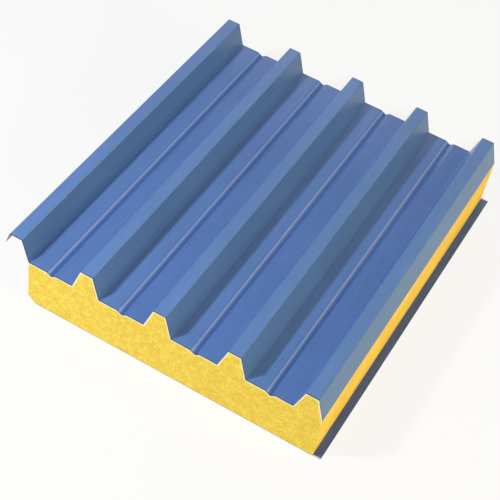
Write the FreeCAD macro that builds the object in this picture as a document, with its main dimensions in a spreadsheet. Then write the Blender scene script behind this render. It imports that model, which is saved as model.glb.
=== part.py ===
# Insulated roof panel: a roll-formed steel sheet with five ribs, a rigid foam core that fills four
# of them, and a flat steel sheet underneath that runs on past the core as a lap.
# Millimetres, +Z up, +X across the width, +Y along the ribs, the origin at the middle of the base.
# Ribs count from 0, the empty rib that laps over the next panel, to 4.

import FreeCAD, Part
import math
import os
import re
import Sketcher

sizes = {
    "ribPitch": 250,  # rib to rib; four of them make the cover width
    "ribHeight": 80,
    "ribBase": 94,
    "crestWidth": 42,
    "foldRadius": 3,  # on the inside of every fold
    "grooveStart": 112,  # the shallow groove in each pan, from the middle of the rib on its left
    "grooveLow": 130,
    "grooveEnd": 145,
    "grooveDepth": 10,
    "seamPlace": 95,  # in the flat, where one repeat of the profile ends and the next begins
    "lapGap": 1,  # how much larger the overlap rib is than the rib that it covers
    "lipDrop": 45,  # how far the overlap rib's free lip comes down
    "panelThickness": 170,  # over both sheets, in the pans
    "topGauge": 0.6,
    "bottomGauge": 0.5,
    "chamferWidth": 30,  # the core's lower left edge, which clears the neighbour's lap
    "chamferHeight": 24,
    "bottomLap": 27,
    "panelLength": 1300,
}
filledRibs = 4

doc = FreeCAD.newDocument("RoofPanel")
sheet = doc.addObject("Spreadsheet::Sheet", "Sizes")
for row, (alias, value) in enumerate(sizes.items(), 1):
    sheet.set(f"A{row}", alias)
    sheet.set(f"B{row}", str(value))
    sheet.setAlias(f"B{row}", alias)
doc.recompute()

# Places across and up the panel, written over the sheet's aliases.
panTop = "panelThickness"
crestTop = "panelThickness + ribHeight"
lipEnd = "-crestWidth / 2 - lapGap - lipDrop * (ribBase - crestWidth) / (2 * ribHeight)"
coreLeft = "ribBase / 2 + lapGap"
coreRight = f"{filledRibs} * ribPitch + ribBase / 2"
widthMiddle = f"({lipEnd} + {coreRight} + bottomLap) / 2"


def sized(expression):
    """The expression with each alias read from the sheet."""
    return re.sub(r"[A-Za-z]+", lambda word: "Sizes." + word.group(), expression)


def overlapRib():
    """Corners of the empty rib, from its free lip to the first seam: a name, and where its X and Z come from."""
    return [
        ("lipEnd", lipEnd, f"{crestTop} + lapGap - lipDrop"),
        ("crestLeft", "-crestWidth / 2 - lapGap", f"{crestTop} + lapGap"),
        ("crestRight", "crestWidth / 2 + lapGap", f"{crestTop} + lapGap"),
        ("footRight", coreLeft, panTop),
        ("seam", "seamPlace", panTop),
    ]


def panAndRib(pitches, runsOn):
    """Corners from a seam, over a grooved pan and the next rib, to that rib's foot or the next seam."""
    corners = [
        ("seam", "seamPlace", panTop),
        ("grooveLeft", "grooveStart", panTop),
        ("grooveLow", "grooveLow", f"{panTop} - grooveDepth"),
        ("grooveRight", "grooveEnd", panTop),
        ("footLeft", "ribPitch - ribBase / 2", panTop),
        ("crestLeft", "ribPitch - crestWidth / 2", crestTop),
        ("crestRight", "ribPitch + crestWidth / 2", crestTop),
        ("footRight", "ribPitch + ribBase / 2", panTop),
    ]
    if runsOn:
        corners.append(("nextSeam", "ribPitch + seamPlace", panTop))
    return [(name, f"{pitches} * ribPitch + {x}", z) for name, x, z in corners]


def newBody(name):
    body = doc.addObject("PartDesign::Body", name)
    body.Label = name
    body.setExpression("Placement.Base.x", f"-({sized(widthMiddle)})")
    return body


def newSketch(body, name):
    sketch = body.newObject("Sketcher::SketchObject", name)
    plane = [item for item in body.Origin.OriginFeatures if item.Role == "XZ_Plane"][0]
    sketch.AttachmentSupport = (plane, [""])
    sketch.MapMode = "FlatFace"
    doc.recompute()
    return sketch


def pinTo(sketch, kind, name, expression, *elements):
    """A named dimension of the sketch that follows an expression."""
    value = sketch.evalExpression(sized(expression))
    index = sketch.addConstraint(Sketcher.Constraint(kind, *elements, value))
    sketch.renameConstraint(index, name)
    sketch.setExpression("Constraints." + name, sized(expression))


def pinPoint(sketch, name, x, z, element, end):
    pinTo(sketch, "DistanceX", name + "X", x, -1, 1, element, end)
    pinTo(sketch, "DistanceY", name + "Z", z, -1, 1, element, end)


def tie(sketch, kind, *elements):
    sketch.addConstraint(Sketcher.Constraint(kind, *elements))


def foldedLine(sketch, points, radii, helper):
    """Lines through the points, with a tangent arc in place of each inner corner."""
    lines, arcs = [], []
    start = points[0]
    for before, corner, after, radius in zip(points, points[1:], points[2:], radii):
        inward = (corner - before).normalize()
        outward = (after - corner).normalize()
        halfTurn = inward.getAngle(outward) / 2
        centre = corner + (outward - inward).normalize() * (radius / math.cos(halfTurn))
        first = corner - inward * (radius * math.tan(halfTurn))
        last = corner + outward * (radius * math.tan(halfTurn))
        rises = inward.cross(outward).z > 0
        angles = [math.atan2(p.y - centre.y, p.x - centre.x) for p in (first, last)]
        if not rises:
            angles.reverse()
        circle = Part.Circle(centre, FreeCAD.Vector(0, 0, 1), radius)
        lines.append(sketch.addGeometry(Part.LineSegment(start, first), helper))
        arcs.append(sketch.addGeometry(Part.ArcOfCircle(circle, *angles), helper))
        tie(sketch, "Tangent", lines[-1], 2, arcs[-1], 1 if rises else 2)
        if len(arcs) > 1:
            tie(sketch, "Tangent", arcs[-2], lastEnd, lines[-1], 1)
        lastEnd = 2 if rises else 1
        start = last
    lines.append(sketch.addGeometry(Part.LineSegment(start, points[-1]), helper))
    if arcs:
        tie(sketch, "Tangent", arcs[-1], lastEnd, lines[-1], 1)
    return lines, arcs


def underside(points, gauge):
    """The points of the sheet's lower face: the upper ones moved by the gauge, square to both neighbours."""
    sides = [(b - a).normalize() for a, b in zip(points, points[1:])]
    downs = [FreeCAD.Vector(side.y, -side.x, 0) for side in sides]
    firsts, seconds = [downs[0]] + downs, downs + [downs[-1]]
    return [p + (a + b) * (gauge / (1 + a.dot(b))) for p, a, b in zip(points, firsts, seconds)]


def sheetFaces(sketch, corners, upperIsHelper):
    """Draws the rolled sheet's upper and lower faces along the corners, the lower one concentric with the upper."""
    points = [
        FreeCAD.Vector(sketch.evalExpression(sized(x)), sketch.evalExpression(sized(z)), 0)
        for name, x, z in corners
    ]
    rises = [(b - a).cross(c - b).z > 0 for a, b, c in zip(points, points[1:], points[2:])]
    names = [name for name, x, z in corners]
    inside, outside = "foldRadius", "foldRadius + topGauge"
    faces = []
    for face, line, isHelper in (
        ("Upper", points, upperIsHelper),
        ("Lower", underside(points, sketch.evalExpression("Sizes.topGauge")), False),
    ):
        radii = [inside if up == (face == "Upper") else outside for up in rises]
        values = [sketch.evalExpression(sized(radius)) for radius in radii]
        lines, arcs = foldedLine(sketch, line, values, isHelper)
        for name, radius, arc in zip(names[1:], radii, arcs):
            pinTo(sketch, "Radius", name + face, radius, arc)
        faces.append((lines, arcs))
    (upper, upperArcs), (lower, lowerArcs) = faces
    for one, other in zip(upperArcs, lowerArcs):
        tie(sketch, "Coincident", one, 3, other, 3)
    for name, x, z in corners[1:-1]:
        place = names.index(name)
        corner = sketch.addGeometry(Part.Point(points[place]), True)
        tie(sketch, "PointOnObject", corner, 1, upper[place - 1])
        tie(sketch, "PointOnObject", corner, 1, upper[place])
        pinPoint(sketch, name, x, z, corner, 1)
    pinPoint(sketch, *corners[0], upper[0], 1)
    pinPoint(sketch, *corners[-1], upper[-1], 2)
    tie(sketch, "Parallel", upper[0], lower[0])
    tie(sketch, "Parallel", upper[-1], lower[-1])
    return upper, lower


def ends(sketch, line, end):
    """One end of a line, as a point."""
    segment = sketch.Geometry[line]
    return segment.StartPoint if end == 1 else segment.EndPoint


def join(sketch, line, end, otherLine, otherEnd):
    """A straight line between the ends of two others."""
    made = sketch.addGeometry(Part.LineSegment(ends(sketch, line, end), ends(sketch, otherLine, otherEnd)))
    tie(sketch, "Coincident", made, 1, line, end)
    tie(sketch, "Coincident", made, 2, otherLine, otherEnd)
    return made


def sheetSketch(body, name, corners):
    """The closed outline of a length of rolled sheet, cut square at both ends."""
    sketch = newSketch(body, name)
    upper, lower = sheetFaces(sketch, corners, False)
    for end, place in ((1, 0), (2, -1)):
        cut = join(sketch, upper[place], end, lower[place], end)
        tie(sketch, "Perpendicular", cut, upper[place])
    return sketch


def coreSketch(body, name, corners, left, right):
    """The foam under a length of rolled sheet: its lower face, two upright sides and a level base."""
    sketch = newSketch(body, name)
    upper, lower = sheetFaces(sketch, corners, True)
    leftX, rightX, baseZ = [sketch.evalExpression(sized(x)) for x in (left, right, "bottomGauge")]
    leftFoot, rightFoot = FreeCAD.Vector(leftX, baseZ, 0), FreeCAD.Vector(rightX, baseZ, 0)
    leftSide = sketch.addGeometry(Part.LineSegment(ends(sketch, lower[0], 1), leftFoot))
    rightSide = sketch.addGeometry(Part.LineSegment(rightFoot, ends(sketch, lower[-1], 2)))
    base = join(sketch, leftSide, 2, rightSide, 1)
    tie(sketch, "Coincident", leftSide, 1, lower[0], 1)
    tie(sketch, "Coincident", rightSide, 2, lower[-1], 2)
    tie(sketch, "Vertical", leftSide)
    tie(sketch, "Vertical", rightSide)
    tie(sketch, "Horizontal", base)
    pinPoint(sketch, "baseLeft", left, "bottomGauge", base, 1)
    pinTo(sketch, "DistanceX", "baseRight", right, -1, 1, base, 2)
    return sketch


def outlineSketch(body, name, corners):
    """A closed outline of straight lines through named corners."""
    sketch = newSketch(body, name)
    points = [
        FreeCAD.Vector(sketch.evalExpression(sized(x)), sketch.evalExpression(sized(z)), 0)
        for corner, x, z in corners
    ]
    lines = [sketch.addGeometry(Part.LineSegment(a, b)) for a, b in zip(points, points[1:] + points[:1])]
    for line, (corner, x, z) in zip(lines, corners):
        tie(sketch, "Coincident", line - 1 if line else lines[-1], 2, line, 1)
        pinPoint(sketch, corner, x, z, line, 1)
    return sketch


def pad(body, sketch):
    """The outline carried along the whole panel, half to each side of the middle."""
    made = body.newObject("PartDesign::Pad", sketch.Name + "Pad")
    made.Profile = sketch
    made.SideType = "Symmetric"
    made.setExpression("Length", "Sizes.panelLength")
    doc.recompute()
    return made


def repeat(body, feature, count):
    """The feature once in each of the pans that run on to another."""
    pattern = body.newObject("PartDesign::LinearPattern", feature.Name + "Repeat")
    across = [item for item in body.Origin.OriginFeatures if item.Role == "X_Axis"][0]
    pattern.Originals = [feature]
    pattern.Direction = (across, [""])
    pattern.Occurrences = count
    pattern.setExpression("Length", f"{count - 1} * Sizes.ribPitch")
    body.Tip = pattern
    doc.recompute()


def topSheet():
    """The rolled steel sheet: the overlap rib, three pans that run on, and the last one up to its rib's foot."""
    body = newBody("top_sheet")
    pad(body, sheetSketch(body, "OverlapRib", overlapRib()))
    repeat(body, pad(body, sheetSketch(body, "SheetPan", panAndRib(0, True))), filledRibs - 1)
    pad(body, sheetSketch(body, "LastSheetPan", panAndRib(filledRibs - 1, False)))
    return body


def insulationCore():
    """The foam: it starts at the overlap rib's foot, above a chamfer, and ends upright under the last rib."""
    body = newBody("insulation_core")
    coreTop = f"{panTop} - topGauge"
    leftEdge = [
        ("sideTop", coreLeft, coreTop),
        ("sideLow", coreLeft, "bottomGauge + chamferHeight"),
        ("chamferLow", f"{coreLeft} + chamferWidth", "bottomGauge"),
        ("seamLow", "seamPlace", "bottomGauge"),
        ("seamTop", "seamPlace", coreTop),
    ]
    pad(body, outlineSketch(body, "LeftEdge", leftEdge))
    pitch = coreSketch(body, "CorePan", panAndRib(0, True), "seamPlace", "ribPitch + seamPlace")
    repeat(body, pad(body, pitch), filledRibs - 1)
    lastSeam = f"{filledRibs - 1} * ribPitch + seamPlace"
    pad(body, coreSketch(body, "LastCorePan", panAndRib(filledRibs - 1, False), lastSeam, coreRight))
    return body


def bottomSheet():
    """The flat steel sheet, from the chamfer to the lap that the next panel's chamfer takes."""
    body = newBody("bottom_sheet")
    left, right = f"{coreLeft} + chamferWidth", f"{coreRight} + bottomLap"
    corners = [
        ("leftLow", left, "0"),
        ("rightLow", right, "0"),
        ("rightTop", right, "bottomGauge"),
        ("leftTop", left, "bottomGauge"),
    ]
    pad(body, outlineSketch(body, "FlatSheet", corners))
    return body


bodies = [topSheet(), insulationCore(), bottomSheet()]
doc.recompute()

for item in doc.Objects:
    if "Invalid" in item.State or "Error" in item.State:
        raise RuntimeError(f"{item.Name} failed: {item.State}")
for body in bodies:
    if body.Shape.isNull() or not body.Shape.isValid() or len(body.Shape.Solids) != 1:
        raise RuntimeError(f"{body.Label} isn't one valid solid")

os.makedirs("parts", exist_ok=True)
for body in bodies:
    body.Shape.exportStep(f"parts/{body.Label}.step")
    print(body.Label, round(body.Shape.Volume / 1e6, 3), "litres", body.Shape.BoundBox)
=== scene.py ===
import bmesh
import bpy
import math
import numpy as np
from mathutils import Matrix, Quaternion, Vector


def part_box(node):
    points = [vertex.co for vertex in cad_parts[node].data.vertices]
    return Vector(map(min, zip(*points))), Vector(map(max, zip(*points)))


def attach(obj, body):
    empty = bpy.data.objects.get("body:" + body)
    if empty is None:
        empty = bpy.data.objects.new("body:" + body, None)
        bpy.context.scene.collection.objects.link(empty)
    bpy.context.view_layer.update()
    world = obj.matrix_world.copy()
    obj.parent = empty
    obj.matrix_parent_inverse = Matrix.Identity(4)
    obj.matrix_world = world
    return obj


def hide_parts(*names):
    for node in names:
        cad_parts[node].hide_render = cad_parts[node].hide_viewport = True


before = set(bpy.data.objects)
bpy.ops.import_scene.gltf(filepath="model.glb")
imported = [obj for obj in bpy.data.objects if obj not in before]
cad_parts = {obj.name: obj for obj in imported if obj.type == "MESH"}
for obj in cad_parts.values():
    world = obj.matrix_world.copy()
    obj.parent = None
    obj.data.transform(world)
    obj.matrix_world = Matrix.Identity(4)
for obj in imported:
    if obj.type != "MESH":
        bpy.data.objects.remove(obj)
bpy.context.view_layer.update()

# An insulated roof panel lying on a pale floor: ribbed blue steel over yellow foam over a flat liner.
# Metres, +Z up, +X across the width, +Y along the ribs.

scene = bpy.context.scene
scene.view_settings.view_transform = "Standard"
print("frame loaded:", ", ".join(sorted(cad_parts)))

meshing = {
    "weld": 0.00001,  # points nearer than this become one
    "sharpFold": 32,  # degrees between two faces, past which their edge is drawn sharp
}


def gridQuads(rows, columns, closed=False):
    # every cell of a grid as one quad: point number = row * columns + column. A closed grid also joins
    # its last column to its first
    numbers = np.arange(rows * columns).reshape(rows, columns)
    if closed:
        numbers = np.hstack([numbers, numbers[:, :1]])
    corners = (numbers[:-1, :-1], numbers[:-1, 1:], numbers[1:, 1:], numbers[1:, :-1])
    return np.stack(corners, axis=-1).reshape(-1, 4)


def makePiece(name, points, quads, finishes, finishOfQuad, measures):
    # whole arrays of points and quads become one closed mesh, with a finish number for each quad
    # and a value at each point for every measure. Patches that meet are joined, faces turned outwards
    mesh = bpy.data.meshes.new(name)
    mesh.from_pydata(points, [], quads)
    mesh.polygons.foreach_set("material_index", np.asarray(finishOfQuad, dtype=np.int32))
    for finish in finishes:
        mesh.materials.append(finish)
    for measure, numbers in measures.items():
        layer = mesh.attributes.new(measure, "FLOAT", "POINT")
        layer.data.foreach_set("value", np.asarray(numbers, dtype=np.float32))
    work = bmesh.new()
    work.from_mesh(mesh)
    bmesh.ops.remove_doubles(work, verts=work.verts, dist=meshing["weld"])
    bmesh.ops.recalc_face_normals(work, faces=work.faces)
    work.to_mesh(mesh)
    work.free()
    mesh.polygons.foreach_set("use_smooth", np.ones(len(mesh.polygons), dtype=bool))
    mesh.set_sharp_from_angle(angle=math.radians(meshing["sharpFold"]))
    piece = bpy.data.objects.new(name, mesh)
    scene.collection.objects.link(piece)
    piece.modifiers.new("evenShading", "WEIGHTED_NORMAL").keep_sharp = True
    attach(piece, "root")
    print("piece:", name, len(mesh.polygons), "faces")
    return piece


def easeStep(value, low, high):
    # 0 below low and 1 above high, eased between: 3t squared minus 2t cubed
    share = np.clip((value - low) / (high - low), 0, 1)
    return share * share * (3 - 2 * share)


# The rolled profile, shared by the sheet and the foam under it.

profile = {
    "ribs": 5,
    "ribPitch": 0.250,
    "ribHeight": 0.080,
    "ribBase": 0.094,
    "crestWidth": 0.042,
    "grooveStart": 0.112,  # from the middle of the rib on its left
    "grooveLow": 0.130,
    "grooveEnd": 0.145,
    "grooveDepth": 0.010,
    "lapGap": 0.001,  # how much larger the overlap rib is than the others
    "lipDrop": 0.045,
    "foldRadius": 0.003,
    "foldSteps": 6,
    "gauge": 0.0006,
    "flatStep": 0.004,  # longest straight stretch between two points
    "besideCut": [0, 0.0012, 0.0022, 0.0034, 0.0046, 0.006, 0.010, 0.018, 0.03],  # rows at a cut end
}
coreLow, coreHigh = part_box("insulation_core")
linerLow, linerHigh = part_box("bottom_sheet")
crestTop = coreHigh.z + profile["gauge"]
panTop = crestTop - profile["ribHeight"]
foamTop = panTop - profile["gauge"]  # the foam's height in the pans
firstRib = coreLow.x - profile["ribBase"] / 2 - profile["lapGap"]


def profileCorners():
    # the upper face's corners from the free lip to the foot of the last rib, as X and Z
    p = profile
    halfCrest, halfBase = p["crestWidth"] / 2, p["ribBase"] / 2
    lapTop = crestTop + p["lapGap"]
    lipRun = p["lipDrop"] * (halfBase - halfCrest) / p["ribHeight"]
    overlap = np.array([
        (-halfCrest - p["lapGap"] - lipRun, lapTop - p["lipDrop"]),
        (-halfCrest - p["lapGap"], lapTop),
        (halfCrest + p["lapGap"], lapTop),
        (halfBase + p["lapGap"], panTop),
    ])
    onePitch = np.array([
        (p["grooveStart"], panTop),
        (p["grooveLow"], panTop - p["grooveDepth"]),
        (p["grooveEnd"], panTop),
        (p["ribPitch"] - halfBase, panTop),
        (p["ribPitch"] - halfCrest, crestTop),
        (p["ribPitch"] + halfCrest, crestTop),
        (p["ribPitch"] + halfBase, panTop),
    ])
    pitches = [onePitch + (number * p["ribPitch"], 0) for number in range(p["ribs"] - 1)]
    return np.concatenate([overlap] + pitches) + (firstRib, 0)


def foldedPath(corners, radius, gauge, steps):
    # an arc in place of each inner corner. Its centre lies beside the corner, radius * tan(half turn)
    # back along the first line and one radius to the side it turns to; its points are the centre plus
    # the radius swung through the turn. The upper face has radius where it is hollow and
    # radius + gauge where it bulges
    along = np.diff(corners, axis=0)
    along /= np.linalg.norm(along, axis=1, keepdims=True)
    before, after = along[:-1], along[1:]
    turn = np.arctan2(
        before[:, 0] * after[:, 1] - before[:, 1] * after[:, 0], (before * after).sum(axis=1)
    )
    radii = np.where(turn > 0, radius, radius + gauge)
    start = corners[1:-1] - before * (radii * np.tan(np.abs(turn) / 2))[:, None]
    up = np.stack([-before[:, 1], before[:, 0]], axis=1)
    reach = (np.sign(turn) * radii)[:, None]
    swing = (turn[:, None] * np.linspace(0, 1, steps + 1))[..., None]
    facing = up[:, None, :] * np.cos(swing) - before[:, None, :] * np.sin(swing)
    arcs = (start + up * reach)[:, None, :] - facing * reach[:, None, :]
    endFacings = np.stack([-along[[0, -1], 1], along[[0, -1], 0]], axis=1)
    points = np.concatenate([corners[:1], arcs.reshape(-1, 2), corners[-1:]])
    facings = np.concatenate([endFacings[:1], facing.reshape(-1, 2), endFacings[1:]])
    return points, facings


def filledPath(points, facings, longest):
    # each long stretch divided evenly: points at shares 0, 1/n, 2/n ... of the way along it
    lengths = np.linalg.norm(np.diff(points, axis=0), axis=1)
    counts = np.maximum(1, np.ceil(lengths / longest)).astype(int)
    stretch = np.repeat(np.arange(len(counts)), counts)
    passed = np.repeat(np.cumsum(counts) - counts, counts)
    share = ((np.arange(counts.sum()) - passed) / counts[stretch])[:, None]
    filled = points[stretch] * (1 - share) + points[stretch + 1] * share
    turned = facings[stretch] * (1 - share) + facings[stretch + 1] * share
    turned /= np.linalg.norm(turned, axis=1, keepdims=True)
    return np.concatenate([filled, points[-1:]]), np.concatenate([turned, facings[-1:]])


def panelStations(middleRows):
    # places along the ribs: the same close offsets from each cut end, and even steps between
    half = coreHigh.y
    nearEnd = np.array(profile["besideCut"])
    middle = np.linspace(-half + nearEnd[-1], half - nearEnd[-1], middleRows)
    return np.concatenate([-half + nearEnd, middle[1:-1], half - nearEnd[::-1]])


# Thin rolled sheet is never quite flat: slight waves, the same in the sheet and in the foam under it.

waves = {
    "height": 0.0001,
    "turns": (14, 31),  # radians per metre of the two sines along the ribs
    "shifts": (1.9, 4.3),  # radians from one pan to the next
    "secondShare": 0.5,  # the second sine's height against the first
    # metres from the flat's left fold, where the waves are none and full, and from its right one,
    # where they are full and none
    "wideFade": (0.004, 0.025, 0.040, 0.012),
    "narrowFade": (0.010, 0.030, 0.022, 0.004),
    "endFade": (0.10, 0.03),  # from a cut end, full and none
}


def insideFlat(place, leftFold, rightFold, fade):
    # 1 between two folds and 0 beside them: a rise from the left one times a fall to the right one
    rise = easeStep(place, leftFold + fade[0], leftFold + fade[1])
    return rise * (1 - easeStep(place, rightFold - fade[2], rightFold - fade[3]))


def outOfTrue(x, y):
    # height of the waves: two sines of Y that shift from pan to pan, none at the folds and cut ends
    p, w = profile, waves
    halfBase = p["ribBase"] / 2
    place = np.mod(x - firstRib, p["ribPitch"])
    pan = np.floor((x - firstRib) / p["ribPitch"])
    wide = insideFlat(place, p["grooveEnd"], p["ribPitch"] - halfBase, w["wideFade"])
    narrow = insideFlat(place, halfBase, p["grooveStart"], w["narrowFade"])
    first, second = [np.sin(y * turn + pan * shift) for turn, shift in zip(w["turns"], w["shifts"])]
    full, none = w["endFade"]
    awayFromCuts = 1 - easeStep(np.abs(y), coreHigh.y - full, coreHigh.y - none)
    waved = first + w["secondShare"] * second
    return w["height"] * waved * np.maximum(wide, narrow) * awayFromCuts


upperPath, upperFacing = foldedPath(
    profileCorners(), profile["foldRadius"], profile["gauge"], profile["foldSteps"]
)
upperPath, upperFacing = filledPath(upperPath, upperFacing, profile["flatStep"])
lowerPath = upperPath - upperFacing * profile["gauge"]
print("profile:", len(upperPath), "points across")


def paint(red, green, blue):
    # a colour from 0 to 255 on a screen, as the linear one that a shader takes
    share = np.array([red, green, blue]) / 255
    linear = np.where(share <= 0.04045, share / 12.92, ((share + 0.055) / 1.055) ** 2.4)
    return (*linear.tolist(), 1.0)


class Wire:
    # one socket. Arithmetic on it adds Math nodes
    def __init__(self, recipe, socket):
        self.recipe = recipe
        self.socket = socket

    def maths(self, operation, first, second):
        return self.recipe.node("ShaderNodeMath", {"operation": operation}, {0: first, 1: second})

    def __add__(self, other):
        return self.maths("ADD", self, other)

    def __radd__(self, other):
        return self.maths("ADD", other, self)

    def __sub__(self, other):
        return self.maths("SUBTRACT", self, other)

    def __rsub__(self, other):
        return self.maths("SUBTRACT", other, self)

    def __mul__(self, other):
        return self.maths("MULTIPLY", self, other)

    def __rmul__(self, other):
        return self.maths("MULTIPLY", other, self)

    def orMore(self, other):
        return self.maths("MAXIMUM", self, other)


class Recipe:
    # the nodes of one material, round its Principled shader, or of the sky
    def __init__(self, owner, **plain):
        owner.use_nodes = True
        self.owner = owner
        self.tree = owner.node_tree
        self.shader = self.tree.nodes.get("Principled BSDF")
        for socketName, value in plain.items():
            self.shader.inputs[socketName.replace("_", " ")].default_value = value

    def node(self, kind, settings, inputs, output=0):
        # adds a node, makes its settings, then fills its sockets with values or links
        made = self.tree.nodes.new(kind)
        for key, value in settings.items():
            setattr(made, key, value)
        inputById = {socket.identifier: socket for socket in made.inputs}
        for key, value in inputs.items():
            socket = inputById[key] if key in inputById else made.inputs[key]
            if isinstance(value, Wire):
                self.tree.links.new(value.socket, socket)
            else:
                socket.default_value = value
        outputById = {socket.identifier: socket for socket in made.outputs}
        return Wire(self, outputById[output] if output in outputById else made.outputs[output])

    def feed(self, socketName, wire):
        self.tree.links.new(wire.socket, self.shader.inputs[socketName])

    def show(self, outputName, shader):
        self.tree.links.new(shader.socket, self.tree.nodes[outputName].inputs["Surface"])

    def place(self):
        return self.node("ShaderNodeTexCoord", {}, {}, "Object")

    def noise(self, scale, stretch=(1.0, 1.0, 1.0), detail=2.0, roughness=0.5):
        moved = self.node("ShaderNodeMapping", {}, {"Vector": self.place(), "Scale": stretch})
        sockets = {"Vector": moved, "Scale": scale, "Detail": detail, "Roughness": roughness}
        return self.node("ShaderNodeTexNoise", {}, sockets, "Fac")

    def cells(self, scale):
        sockets = {"Vector": self.place(), "Scale": scale}
        return self.node("ShaderNodeTexVoronoi", {}, sockets, "Distance")

    def measure(self, name):
        return self.node("ShaderNodeAttribute", {"attribute_name": name}, {}, "Fac")

    def ease(self, wire, low, high, bottom=0.0, top=1.0):
        sockets = {"Value": wire, "From Min": low, "From Max": high, "To Min": bottom, "To Max": top}
        return self.node("ShaderNodeMapRange", {"interpolation_type": "SMOOTHSTEP"}, sockets)

    def within(self, wire, full, none):
        # 1 up to the first distance and 0 past the second
        return self.ease(wire, full, none, bottom=1.0, top=0.0)

    def mix(self, factor, first, second):
        sockets = {"Factor_Float": factor, "A_Color": first, "B_Color": second}
        return self.node("ShaderNodeMix", {"data_type": "RGBA"}, sockets, "Result_Color")

    def relief(self, height, depth, strength, under=None):
        sockets = {"Height": height, "Distance": depth, "Strength": strength}
        if under is not None:
            sockets["Normal"] = under
        return self.node("ShaderNodeBump", {}, sockets, "Normal")


def newFinish(name, **plain):
    return Recipe(bpy.data.materials.new(name), **plain)


coating = {
    # what both coil coated faces share
    "streakStretch": (1.0, 0.05, 1.0),  # rolling streaks run along the ribs
    "streakTone": (0.34, 0.66),
    "glossDrop": 0.05,  # roughness below the plain value
    "glossSpread": 0.10,  # and what the streaks add to it
    "peelScale": 700,  # orange peel
    "peelDepth": 0.00004,
    "peelStrength": 0.5,
}

sheetFinish = {
    "blue": paint(87, 121, 180),
    "deepBlue": paint(80, 114, 171),
    "streakScale": 160,
    "streakShare": 0.45,
    "cloudScale": 6,
    "cloudStretch": (1.0, 0.5, 1.0),
    "roughness": 0.33,
    "glossIndex": 1.38,
    "streakRelief": 0.3,  # share of the streaks in the surface, the rest is orange peel
    "edgeBlue": paint(38, 47, 84),
    "edgeBand": (0.0015, 0.0045),  # full and none: the darker line that the shears leave beside a cut
    "edgeCover": 0.85,
    "highlightLine": paint(172, 194, 236),  # painted highlight: a pale line along the groove's upper fold, standing in for the gloss there
    "highlightCover": 0.85,
    "shadeLine": paint(58, 82, 140),  # and painted shade along the fold at its bottom
    "shadeCover": 0.75,
}


def blueCoating():
    # coil coated polyester: faint streaks along the ribs, very fine orange peel, dark beside a cut, and
    # a painted highlight and painted shade along each groove
    f, c = sheetFinish, coating
    made = newFinish("blueCoating", Roughness=f["roughness"], IOR=f["glossIndex"])
    streaks = made.noise(f["streakScale"], c["streakStretch"], detail=3.0)
    cloudy = made.noise(f["cloudScale"], f["cloudStretch"])
    uneven = streaks * f["streakShare"] + cloudy * (1 - f["streakShare"])
    colour = made.mix(made.ease(uneven, *c["streakTone"]), f["deepBlue"], f["blue"])
    # painted highlight along each groove's upper fold
    colour = made.mix(made.measure("paintedHighlight") * f["highlightCover"], colour, f["highlightLine"])
    # painted shade along each groove's bottom
    colour = made.mix(made.measure("paintedGrooveShade") * f["shadeCover"], colour, f["shadeLine"])
    cutLine = made.within(made.measure("fromEnd"), *f["edgeBand"])
    made.feed("Base Color", made.mix(cutLine * f["edgeCover"], colour, f["edgeBlue"]))
    made.feed("Roughness", f["roughness"] - c["glossDrop"] + streaks * c["glossSpread"])
    surface = made.noise(c["peelScale"]) * (1 - f["streakRelief"]) + streaks * f["streakRelief"]
    made.feed("Normal", made.relief(surface, c["peelDepth"], c["peelStrength"]))
    return made.owner


backingFinish = {
    "grey": paint(150, 152, 148),
    "deepGrey": paint(138, 141, 138),
    "tone": (0.3, 0.7),
    "rollScale": 40,
    "rollStretch": (1.0, 0.15, 1.0),
    "roughness": 0.50,
    "roughnessSpread": 0.12,
    "peelScale": 500,
    "peelDepth": 0.00005,
    "peelStrength": 0.4,
}


def backingCoat():
    # thin grey coat on the hidden face, a little uneven
    f = backingFinish
    made = newFinish("backingCoat")
    uneven = made.noise(f["rollScale"], f["rollStretch"], detail=3.0)
    made.feed("Base Color", made.mix(made.ease(uneven, *f["tone"]), f["deepGrey"], f["grey"]))
    made.feed("Roughness", f["roughness"] + uneven * f["roughnessSpread"])
    made.feed("Normal", made.relief(made.noise(f["peelScale"]), f["peelDepth"], f["peelStrength"]))
    return made.owner


cutFinish = {
    "zinc": paint(168, 172, 178),
    "steel": paint(120, 126, 136),
    "metallic": 0.8,
    "roughness": 0.32,
    "roughnessSpread": 0.25,
    "tearScale": 1500,
    "tearStretch": (1.0, 1.0, 0.15),
    "tearDepth": 0.0001,
    "tearStrength": 0.5,
}


def cutSteel():
    # the bare edge that the shears leave: zinc over steel, with fine tear lines through the thickness
    f = cutFinish
    made = newFinish("cutSteel", Metallic=f["metallic"])
    tears = made.noise(f["tearScale"], f["tearStretch"])
    made.feed("Base Color", made.mix(tears, f["zinc"], f["steel"]))
    made.feed("Roughness", f["roughness"] + tears * f["roughnessSpread"])
    made.feed("Normal", made.relief(tears, f["tearDepth"], f["tearStrength"]))
    return made.owner


foamPaint = {
    "skin": paint(246, 243, 222),
    "pore": paint(214, 178, 52),
}

cutFoamFinish = {
    "yellow": paint(246, 224, 100),
    "warm": paint(237, 200, 80),
    "tone": (0.40, 0.60),
    "cloudScale": 42,
    "cloudShare": 0.45,
    "grainScale": 130,
    "poreScale": 300,
    "poreTone": (0.40, 0.70),
    "poreCover": 0.6,
    "skinBand": (0.00208, 0.0052),  # full and none: the pale dense skin under the top sheet
    "skinRagged": 0.003,  # how much the grain shifts its edge
    "skinCover": 0.9,
    "footShade": paint(150, 138, 84),
    "footBand": (0.0017, 0.0034),  # full and none: painted shade, a darker band on the foam just over the liner
    "footCover": 0.8,
    "roughness": 0.80,
    "roughnessSpread": 0.2,
    "shine": 0.25,
    "poreDepth": 0.0012,
    "grainDepth": 0.0022,
    "strength": 0.6,
}


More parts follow.
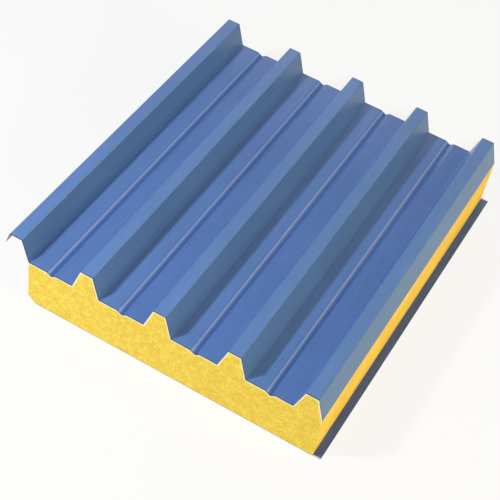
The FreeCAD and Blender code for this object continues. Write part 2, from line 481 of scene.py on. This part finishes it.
def cutFoam():
    # rigid foam sawn across: open cells, cloudy density, a pale dense skin along the sheets, and painted
    # shade just over the liner
    f = cutFoamFinish
    made = newFinish("cutFoam", Specular_IOR_Level=f["shine"])
    cloudy = made.noise(f["cloudScale"], detail=3.0)
    grain = made.noise(f["grainScale"], detail=4.0, roughness=0.65)
    pores = made.cells(f["poreScale"])
    density = cloudy * f["cloudShare"] + grain * (1 - f["cloudShare"])
    body = made.mix(made.ease(density, *f["tone"]), f["warm"], f["yellow"])
    body = made.mix(made.ease(pores, *f["poreTone"]) * f["poreCover"], body, foamPaint["pore"])
    skinDepth = made.measure("fromSkin") + grain * f["skinRagged"] - f["skinRagged"] / 2
    body = made.mix(made.within(skinDepth, *f["skinBand"]) * f["skinCover"], body, foamPaint["skin"])
    # painted shade: the foam darker in a thin band just over the liner, where the two meet
    foot = made.within(made.measure("fromBase"), *f["footBand"])
    made.feed("Base Color", made.mix(foot * f["footCover"], body, f["footShade"]))
    made.feed("Roughness", f["roughness"] + grain * f["roughnessSpread"])
    openCells = made.relief(1 - pores, f["poreDepth"], f["strength"])
    made.feed("Normal", made.relief(grain, f["grainDepth"], f["strength"], openCells))
    return made.owner


sideFoamFinish = {
    "yellow": paint(240, 205, 82),
    "warm": paint(233, 188, 66),
    "tone": (0.36, 0.64),
    "flowScale": 22,
    "flowStretch": (1.0, 0.35, 1.0),
    "flowShare": 0.7,
    "grainScale": 240,
    "pinholeScale": 95,
    "pinholeSize": (0.10, 0.16),
    "pinholeCover": 0.35,
    "pinholeDepth": 0.5,
    "skinBand": (0.001, 0.0052),
    "skinCover": 0.6,
    "roughness": 0.62,
    "roughnessSpread": 0.2,
    "shine": 0.35,
    "depth": 0.0015,
    "strength": 0.5,
}


def sideFoam():
    # the foam's moulded long sides: closed smooth skin, flow ripples along the panel, a few pinholes
    f = sideFoamFinish
    made = newFinish("sideFoam", Specular_IOR_Level=f["shine"])
    flow = made.noise(f["flowScale"], f["flowStretch"], detail=3.0)
    grain = made.noise(f["grainScale"])
    ripples = flow * f["flowShare"] + grain * (1 - f["flowShare"])
    body = made.mix(made.ease(ripples, *f["tone"]), f["warm"], f["yellow"])
    pinholes = made.within(made.cells(f["pinholeScale"]), *f["pinholeSize"])
    body = made.mix(pinholes * f["pinholeCover"], body, foamPaint["pore"])
    skin = made.within(made.measure("fromSkin"), *f["skinBand"])
    made.feed("Base Color", made.mix(skin * f["skinCover"], body, foamPaint["skin"]))
    made.feed("Roughness", f["roughness"] + flow * f["roughnessSpread"])
    surface = ripples - pinholes * f["pinholeDepth"]
    made.feed("Normal", made.relief(surface, f["depth"], f["strength"]))
    return made.owner


linerFinish = {
    "slate": paint(66, 90, 150),
    "deepSlate": paint(58, 80, 138),
    "streakScale": 150,
    "roughness": 0.45,
    "paleEnd": paint(206, 210, 214),
    "endBand": (0.0036, 0.006),  # full and none: the pale cut end
    "endCover": 0.85,
}


def slateCoating():
    # the liner's dark blue grey coat, with the same rolling streaks
    f, c = linerFinish, coating
    made = newFinish("slateCoating")
    streaks = made.noise(f["streakScale"], c["streakStretch"], detail=3.0)
    colour = made.mix(made.ease(streaks, *c["streakTone"]), f["deepSlate"], f["slate"])
    cutEnd = made.within(made.measure("fromEnd"), *f["endBand"])
    made.feed("Base Color", made.mix(cutEnd * f["endCover"], colour, f["paleEnd"]))
    made.feed("Roughness", f["roughness"] - c["glossDrop"] + streaks * c["glossSpread"])
    made.feed("Normal", made.relief(made.noise(c["peelScale"]), c["peelDepth"], c["peelStrength"]))
    return made.owner


def sheetArrays(upper, lower, stations, lift):
    # a thin sheet carried along Y: at each station the upper path runs out and the lower one runs back,
    # point = (path X, station, path Z + lift(X, station)). The strips between close both cut ends
    ring = np.concatenate([upper, lower[::-1]])
    across, around = len(upper), len(ring)
    x, y = np.broadcast_arrays(ring[:, 0], stations[:, None])
    points = np.stack([x, y, ring[:, 1] + lift(x, y)], axis=-1).reshape(-1, 3)
    step = np.arange(across - 1)
    frontEnd = np.stack([step, step + 1, around - 2 - step, around - 1 - step], axis=-1)
    backEnd = frontEnd + (len(stations) - 1) * around
    quads = np.concatenate([gridQuads(len(stations), around, closed=True), frontEnd, backEnd])
    # finish numbers: 0 the upper face, 1 the lower face, 2 every cut edge
    finishAround = np.where(np.arange(around) < across - 1, 0, 1)
    finishAround[[across - 1, -1]] = 2
    sides = np.tile(finishAround, len(stations) - 1)
    finishOfQuad = np.concatenate([sides, np.full(2 * len(step), 2)])
    fromEnd = np.repeat(coreHigh.y - np.abs(stations), around)
    return points, quads, finishOfQuad, fromEnd


topSheet = {
    "middleRows": 32,
    "highlightLine": 0.0055,  # middle of the painted highlight line, past the fold where the groove starts
    "highlightReach": 0.0030,
    "shadeLine": 0.0005,  # middle of the painted shade line, past the groove's bottom
    "shadeReach": 0.0055,
    "fullShare": 0.25,  # share of its reach over which a line is full
}


def alongGroove(x, middle, reach):
    # 1 on a line that runs along each groove, middle from the rib on its left, and 0 past its reach
    place = np.mod(x - firstRib, profile["ribPitch"])
    return 1 - easeStep(np.abs(place - middle), reach * topSheet["fullShare"], reach)


def makeTopSheet():
    # the rolled profile carried along the panel, its flats lifted by the slight waves
    t = topSheet
    stations = panelStations(t["middleRows"])
    points, quads, finishOfQuad, fromEnd = sheetArrays(upperPath, lowerPath, stations, outOfTrue)
    across = points[:, 0]
    measures = {
        "fromEnd": fromEnd,
        "paintedHighlight": alongGroove(across, profile["grooveStart"] + t["highlightLine"], t["highlightReach"]),
        "paintedGrooveShade": alongGroove(across, profile["grooveLow"] + t["shadeLine"], t["shadeReach"]),
    }
    finishes = [blueCoating(), backingCoat(), cutSteel()]
    piece = makePiece("topSheet", points, quads, finishes, finishOfQuad, measures)
    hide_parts("top_sheet")


core = {
    "chamferWidth": 0.030,
    "chamferHeight": 0.024,
    "sideClear": 0.0002,  # the profile's points nearer to a side than this give way to the side's own
    "underTop": [0, 0.001, 0.002, 0.003, 0.0045, 0.006, 0.008, 0.012, 0.018, 0.026],
    "overBase": [0.010, 0.006, 0.0035, 0.002, 0.001, 0],
    "middleLevels": 16,
    "middleRows": 18,
    "sawDepth": 0.0005,
    "sawFade": 0.012,  # from the outline of a cut end
    # share, radians per metre across and up, and how far the bend shifts it
    "sawSines": [(0.22, 210, 0, 3), (0.18, 95, 330, 0), (0.10, 517, -260, 0)],
    "sawBend": 40,
}


def coreColumns():
    # the foam's top from its left side to its right one: the sheet's lower path, with one more point
    # over the chamfer's foot so that the base keeps its corner
    x = lowerPath[:, 0]
    isInside = (x > coreLow.x + core["sideClear"]) & (x < coreHigh.x - core["sideClear"])
    footX = coreLow.x + core["chamferWidth"]
    added = np.array([[side, foamTop] for side in (coreLow.x, footX, coreHigh.x)])
    columns = np.concatenate([added[:1], lowerPath[isInside], added[1:]])
    return columns[np.argsort(columns[:, 0], kind="stable")]


def coreSection():
    # a grid of levels down each column: fixed depths under the sheet, fixed heights over the base, and
    # even shares between. The base is level except where the chamfer rises to the left side
    x, top = coreColumns().T
    rise = np.clip(1 - (x - coreLow.x) / core["chamferWidth"], 0, 1) * core["chamferHeight"]
    below = top - np.array(core["underTop"])[:, None]
    above = coreLow.z + rise + np.array(core["overBase"])[:, None]
    share = np.linspace(0, 1, core["middleLevels"] + 2)[1:-1, None]
    between = below[-1] * (1 - share) + above[0] * share
    z = np.concatenate([below, between, above])
    return np.broadcast_to(x, z.shape), z


def nearestTo(path, x, z):
    # shortest distance from each place to the stretches of a path
    start, stretch = path[:-1], np.diff(path, axis=0)
    place = np.stack([x, z], axis=-1).reshape(-1, 1, 2) - start
    share = np.clip((place * stretch).sum(axis=-1) / (stretch**2).sum(axis=-1), 0, 1)
    apart = place - share[..., None] * stretch
    return np.sqrt((apart**2).sum(axis=-1)).min(axis=1).reshape(x.shape)


def sawWaves(x, z):
    # how deep the saw went, from 0 to 1: a half plus three crossing sines, share * sin(X and Z turned)
    waved = 0.5
    for share, across, up, bend in core["sawSines"]:
        waved = waved + share * np.sin(x * across + z * up + bend * np.sin(z * core["sawBend"]))
    return waved


def roundBorder(grid):
    # a grid's border in one round: along the first row, down the last column, and back by the others
    return np.concatenate([grid[0], grid[1:, -1], grid[-1, -2::-1], grid[-2:0:-1, 0]])


def makeFoamCore():
    # both cut ends are the section's grid, pushed in by the saw's waves; its outline carried along Y
    # makes the top, the sides and the base
    x, z = coreSection()
    levels, columns = x.shape
    stations = panelStations(core["middleRows"])
    fromSkin = nearestTo(coreColumns(), x, z)
    fromBase = z - z[-1]
    fromSides = np.minimum(x - coreLow.x, coreHigh.x - x)
    fromOutline = np.minimum(np.minimum(fromSkin, fromBase), fromSides)
    pushed = core["sawDepth"] * sawWaves(x, z) * easeStep(fromOutline, 0.0, core["sawFade"])
    frontEnd = np.stack([x, -coreHigh.y + pushed, z], axis=-1).reshape(-1, 3)
    backEnd = np.stack([x, coreHigh.y - pushed, z], axis=-1).reshape(-1, 3)

    borderX, borderZ = roundBorder(x), roundBorder(z)
    skinX, skinY = np.broadcast_arrays(borderX, stations[:, None])
    onTop = np.arange(len(borderX)) < columns
    skinZ = borderZ + np.where(onTop, outOfTrue(skinX, skinY), 0)
    skin = np.stack([skinX, skinY, skinZ], axis=-1).reshape(-1, 3)
    skinQuads = gridQuads(len(stations), len(borderX), closed=True)
    endQuads = gridQuads(levels, columns)

    points = np.concatenate([skin, frontEnd, backEnd])
    frontQuads = endQuads + len(skin)
    quads = np.concatenate([skinQuads, frontQuads, frontQuads + len(frontEnd)])
    finishOfQuad = np.concatenate([np.ones(len(skinQuads)), np.zeros(2 * len(endQuads))])
    skinFromTop = np.tile(np.abs(borderZ - foamTop), len(stations))
    skinFromBase = np.tile(borderZ - coreLow.z, len(stations))
    measures = {
        "fromSkin": np.concatenate([skinFromTop, fromSkin.ravel(), fromSkin.ravel()]),
        "fromBase": np.concatenate([skinFromBase, fromBase.ravel(), fromBase.ravel()]),
    }
    piece = makePiece("foamCore", points, quads, [cutFoam(), sideFoam()], finishOfQuad, measures)
    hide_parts("insulation_core")


liner = {
    "step": 0.02,
    "middleRows": 24,
    "besideEdge": [0.001, 0.003],  # more points beside the lap's free edge
}


def noLift(x, y):
    return 0 * x  # the liner lies flat


def makeLiner():
    # two level paths one gauge apart, from the chamfer's foot to the lap's free edge, carried along Y
    count = int((linerHigh.x - linerLow.x) / liner["step"]) + 1
    x = np.linspace(linerLow.x, linerHigh.x, count)
    x = np.sort(np.concatenate([x, linerHigh.x - np.array(liner["besideEdge"]), [coreHigh.x]]))
    upper = np.stack([x, np.full(len(x), linerHigh.z)], axis=1)
    lower = np.stack([x, np.full(len(x), linerLow.z)], axis=1)
    stations = panelStations(liner["middleRows"])
    points, quads, finishOfQuad, fromEnd = sheetArrays(upper, lower, stations, noLift)
    finishes = [slateCoating(), cutSteel()]  # one coat on both faces, and the cut edges
    isCut = finishOfQuad == 2
    piece = makePiece("linerSheet", points, quads, finishes, isCut, {"fromEnd": fromEnd})
    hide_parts("bottom_sheet")


makeTopSheet()
makeFoamCore()
makeLiner()

studio = {
    "floorSize": 30,
    "floorColour": (0.72, 0.72, 0.72, 1),
    "floorRoughness": 0.9,
    "floorGlow": 0.82,  # how far the floor is plain white to the camera; the rest keeps the shadow
    "skyForLight": 0.28,
    "skyColour": (0.86, 0.94, 1.0, 1),
    "white": (1, 1, 1, 1),
    "lampAim": (0, 0, 0.1),
}


def seenDirectly(made):
    # 1 for what the camera sees, also mirrored or through glass, and 0 for all other light
    seen = made.node("ShaderNodeLightPath", {}, {}, "Is Camera Ray")
    for ray in ("Is Glossy Ray", "Is Transmission Ray"):
        seen = seen.orMore(made.node("ShaderNodeLightPath", {}, {}, ray))
    return seen


def makeFloor():
    # one wide square that is nearly white to the camera and keeps the panel's shadow
    half = studio["floorSize"] / 2
    corners = [(-half, -half, 0), (half, -half, 0), (half, half, 0), (-half, half, 0)]
    mesh = bpy.data.meshes.new("studioFloor")
    mesh.from_pydata(corners, [], [(0, 1, 2, 3)])
    floor = bpy.data.objects.new("studioFloor", mesh)
    scene.collection.objects.link(floor)
    made = newFinish(
        "studioFloor", Roughness=studio["floorRoughness"], Base_Color=studio["floorColour"]
    )
    matt = Wire(made, made.shader.outputs[0])
    glow = made.node("ShaderNodeEmission", {}, {"Color": studio["white"], "Strength": 1.0})
    share = seenDirectly(made) * studio["floorGlow"]
    made.show("Material Output", made.node("ShaderNodeMixShader", {}, {0: share, 1: matt, 2: glow}))
    mesh.materials.append(made.owner)


def makeSky():
    # plain white when seen directly, and a soft even light for everything else
    scene.world = bpy.data.worlds.new("studioSky")
    made = Recipe(scene.world)
    colour, strength = studio["skyColour"], studio["skyForLight"]
    light = made.node("ShaderNodeBackground", {}, {"Color": colour, "Strength": strength})
    white = made.node("ShaderNodeBackground", {}, {"Color": studio["white"], "Strength": 1.0})
    both = made.node("ShaderNodeMixShader", {}, {0: seenDirectly(made), 1: light, 2: white})
    made.show("World Output", both)


lamps = {
    # name: place, size, watts, colour
    "keyLamp": ((-1.7, -2.1, 2.65), 0.3, 96, (0.96, 0.98, 1.0)),
    "rightLamp": ((4.3, -0.9, 2.4), 2.0, 158, (1.0, 0.82, 0.36)),
    "shineLamp": ((1.75, 2.1, 1.85), 0.5, 4, (0.94, 0.97, 1.0)),
    "frontLamp": ((0.9, -4.2, 1.3), 1.8, 20, (1.0, 0.98, 0.94)),
    "backLamp": ((-1.2, 4.2, 1.2), 2.6, 54, (1.0, 0.98, 0.95)),
}


def makeLamps():
    # round area lamps, each turned to the middle of the panel
    for name, (place, size, watts, colour) in lamps.items():
        data = bpy.data.lights.new(name, "AREA")
        data.shape = "DISK"
        data.size = size
        data.energy = watts
        data.color = colour
        lamp = bpy.data.objects.new(name, data)
        lamp.location = place
        lamp.rotation_mode = "QUATERNION"
        towards = Vector(studio["lampAim"]) - Vector(place)
        lamp.rotation_quaternion = towards.to_track_quat("-Z", "Y")
        scene.collection.objects.link(lamp)


camera = {
    "aim": (0.0196, -0.1453, 0.10),
    "azimuth": 21.0,  # degrees from straight in front, towards +X
    "elevation": 47.0,
    "roll": 11.5,  # degrees, the right-hand side lifted
    "distance": 4.2,
    "lens": 95.4,
    "sensor": 36,
}


def makeCamera():
    # on a sphere round the aim: back = (sin azimuth, -cos azimuth) * cos elevation, and sin elevation up
    c = camera
    azimuth, elevation = math.radians(c["azimuth"]), math.radians(c["elevation"])
    back = Vector((
        math.sin(azimuth) * math.cos(elevation),
        -math.cos(azimuth) * math.cos(elevation),
        math.sin(elevation),
    ))
    data = bpy.data.cameras.new("studioCamera")
    data.lens = c["lens"]
    data.sensor_width = c["sensor"]
    view = bpy.data.objects.new("studioCamera", data)
    view.location = Vector(c["aim"]) + back * c["distance"]
    view.rotation_mode = "QUATERNION"
    roll = Quaternion((0, 0, 1), math.radians(c["roll"]))
    view.rotation_quaternion = (-back).to_track_quat("-Z", "Y") @ roll
    scene.collection.objects.link(view)
    scene.camera = view


makeFloor()
makeSky()
makeLamps()
makeCamera()
print("studio: floor, sky,", len(lamps), "lamps and the camera")
